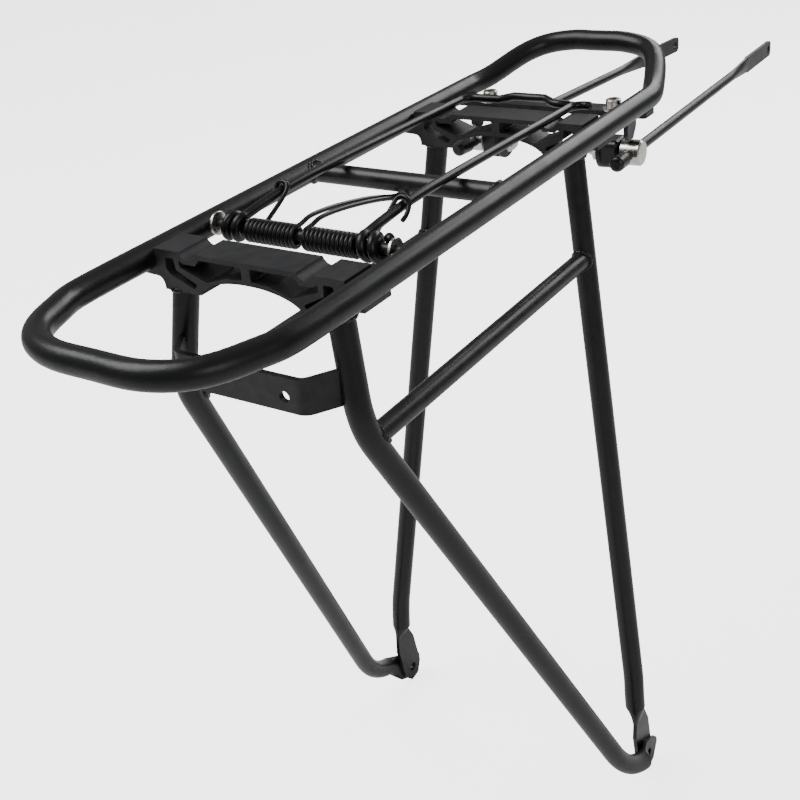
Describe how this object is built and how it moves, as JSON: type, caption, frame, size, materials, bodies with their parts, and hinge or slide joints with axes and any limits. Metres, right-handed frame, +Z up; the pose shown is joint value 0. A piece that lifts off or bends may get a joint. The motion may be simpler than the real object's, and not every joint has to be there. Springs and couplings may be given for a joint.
{
  "type": "bicycle rear rack",
  "caption": "Tubular rear carrier for a bicycle: looped deck, four legs to the axle eyelets, sprung flap and adjustable stays.",
  "frame": {"origin": "midway between the two lower eyelets, on the axis of their holes", "axes": "+X to the rider's right, +Y forward along the deck, +Z up"},
  "size_m": [0.2044, 0.636, 0.43],
  "materials": {
    "black_tube": "satin black powder coat",
    "black_casting": "satin black powder coat on an extruded slice",
    "black_steel": "satin black powder coat",
    "black_wire": "satin black coated wire",
    "spring_steel": "satin black coated spring wire",
    "nickel": "nickel plated, lightly brushed",
    "black_plastic": "moulded, slightly glossy"
  },
  "bodies": {
    "root": {"deck_loop_tube": "black_tube", "cross_tube": "black_tube", "rear_leg_left": "black_tube", "rear_leg_right": "black_tube", "front_leg_left": "black_tube", "front_leg_right": "black_tube", "strut_left": "black_tube", "strut_right": "black_tube", "rear_bridge": "black_casting", "front_bridge": "black_casting", "light_bracket": "black_steel", "stay_cross_plate": "black_steel", "flap_axle": "black_steel", "spring_left": "spring_steel", "spring_right": "spring_steel", "axle_washers": "nickel", "bracket_screws": "nickel", "bracket_washers": "nickel", "bracket_nuts": "nickel"},
    "flap": {"flap_arm_left": "black_wire", "flap_arm_right": "black_wire"},
    "bracket_right": {"stay_bracket_right": "black_steel", "clamp_block_right": "black_plastic"},
    "clamp_right": {"clamp_bolt_right": "nickel", "clamp_nut_right": "nickel"},
    "stay_right": {"stay_rod_right": "black_steel", "rod_cap_right": "black_plastic"},
    "bracket_left": {"stay_bracket_left": "black_steel", "clamp_block_left": "black_plastic"},
    "clamp_left": {"clamp_bolt_left": "nickel", "clamp_nut_left": "nickel"},
    "stay_left": {"stay_rod_left": "black_steel", "rod_cap_left": "black_plastic"}
  },
  "joints": [
    {"name": "flap_hinge", "type": "hinge", "parent": "root", "child": "flap", "pos_m": [0, -0.1524, 0.3986], "axis": [1, 0, 0], "range_deg": [0, 100], "stiffness_Nm_per_rad": 0.3, "springref_deg": -57.3, "deforming": ["spring_left", "spring_right"]},
    {"name": "bracket_swivel_right", "type": "hinge", "parent": "root", "child": "bracket_right", "pos_m": [0.0393, 0.0796, 0.3864], "axis": [0, 0, 1], "range_deg": [-15, 6.5]},
    {"name": "clamp_tilt_right", "type": "hinge", "parent": "bracket_right", "child": "clamp_right", "pos_m": [0.04941, 0.08164, 0.3664], "axis": [0.9986, 0.053, 0], "range_deg": [-20, 25]},
    {"name": "stay_slide_right", "type": "slide", "parent": "clamp_right", "child": "stay_right", "axis": [-0.053, 0.9981, -0.03], "range_m": [-0.02, 0.005]},
    {"name": "bracket_swivel_left", "type": "hinge", "parent": "root", "child": "bracket_left", "pos_m": [-0.0393, 0.0796, 0.3864], "axis": [0, 0, 1], "range_deg": [-6.5, 15]},
    {"name": "clamp_tilt_left", "type": "hinge", "parent": "bracket_left", "child": "clamp_left", "pos_m": [-0.04941, 0.08164, 0.3664], "axis": [0.9986, -0.053, 0], "range_deg": [-20, 25]},
    {"name": "stay_slide_left", "type": "slide", "parent": "clamp_left", "child": "stay_left", "axis": [0.053, 0.9981, -0.03], "range_m": [-0.02, 0.005]}
  ]
}
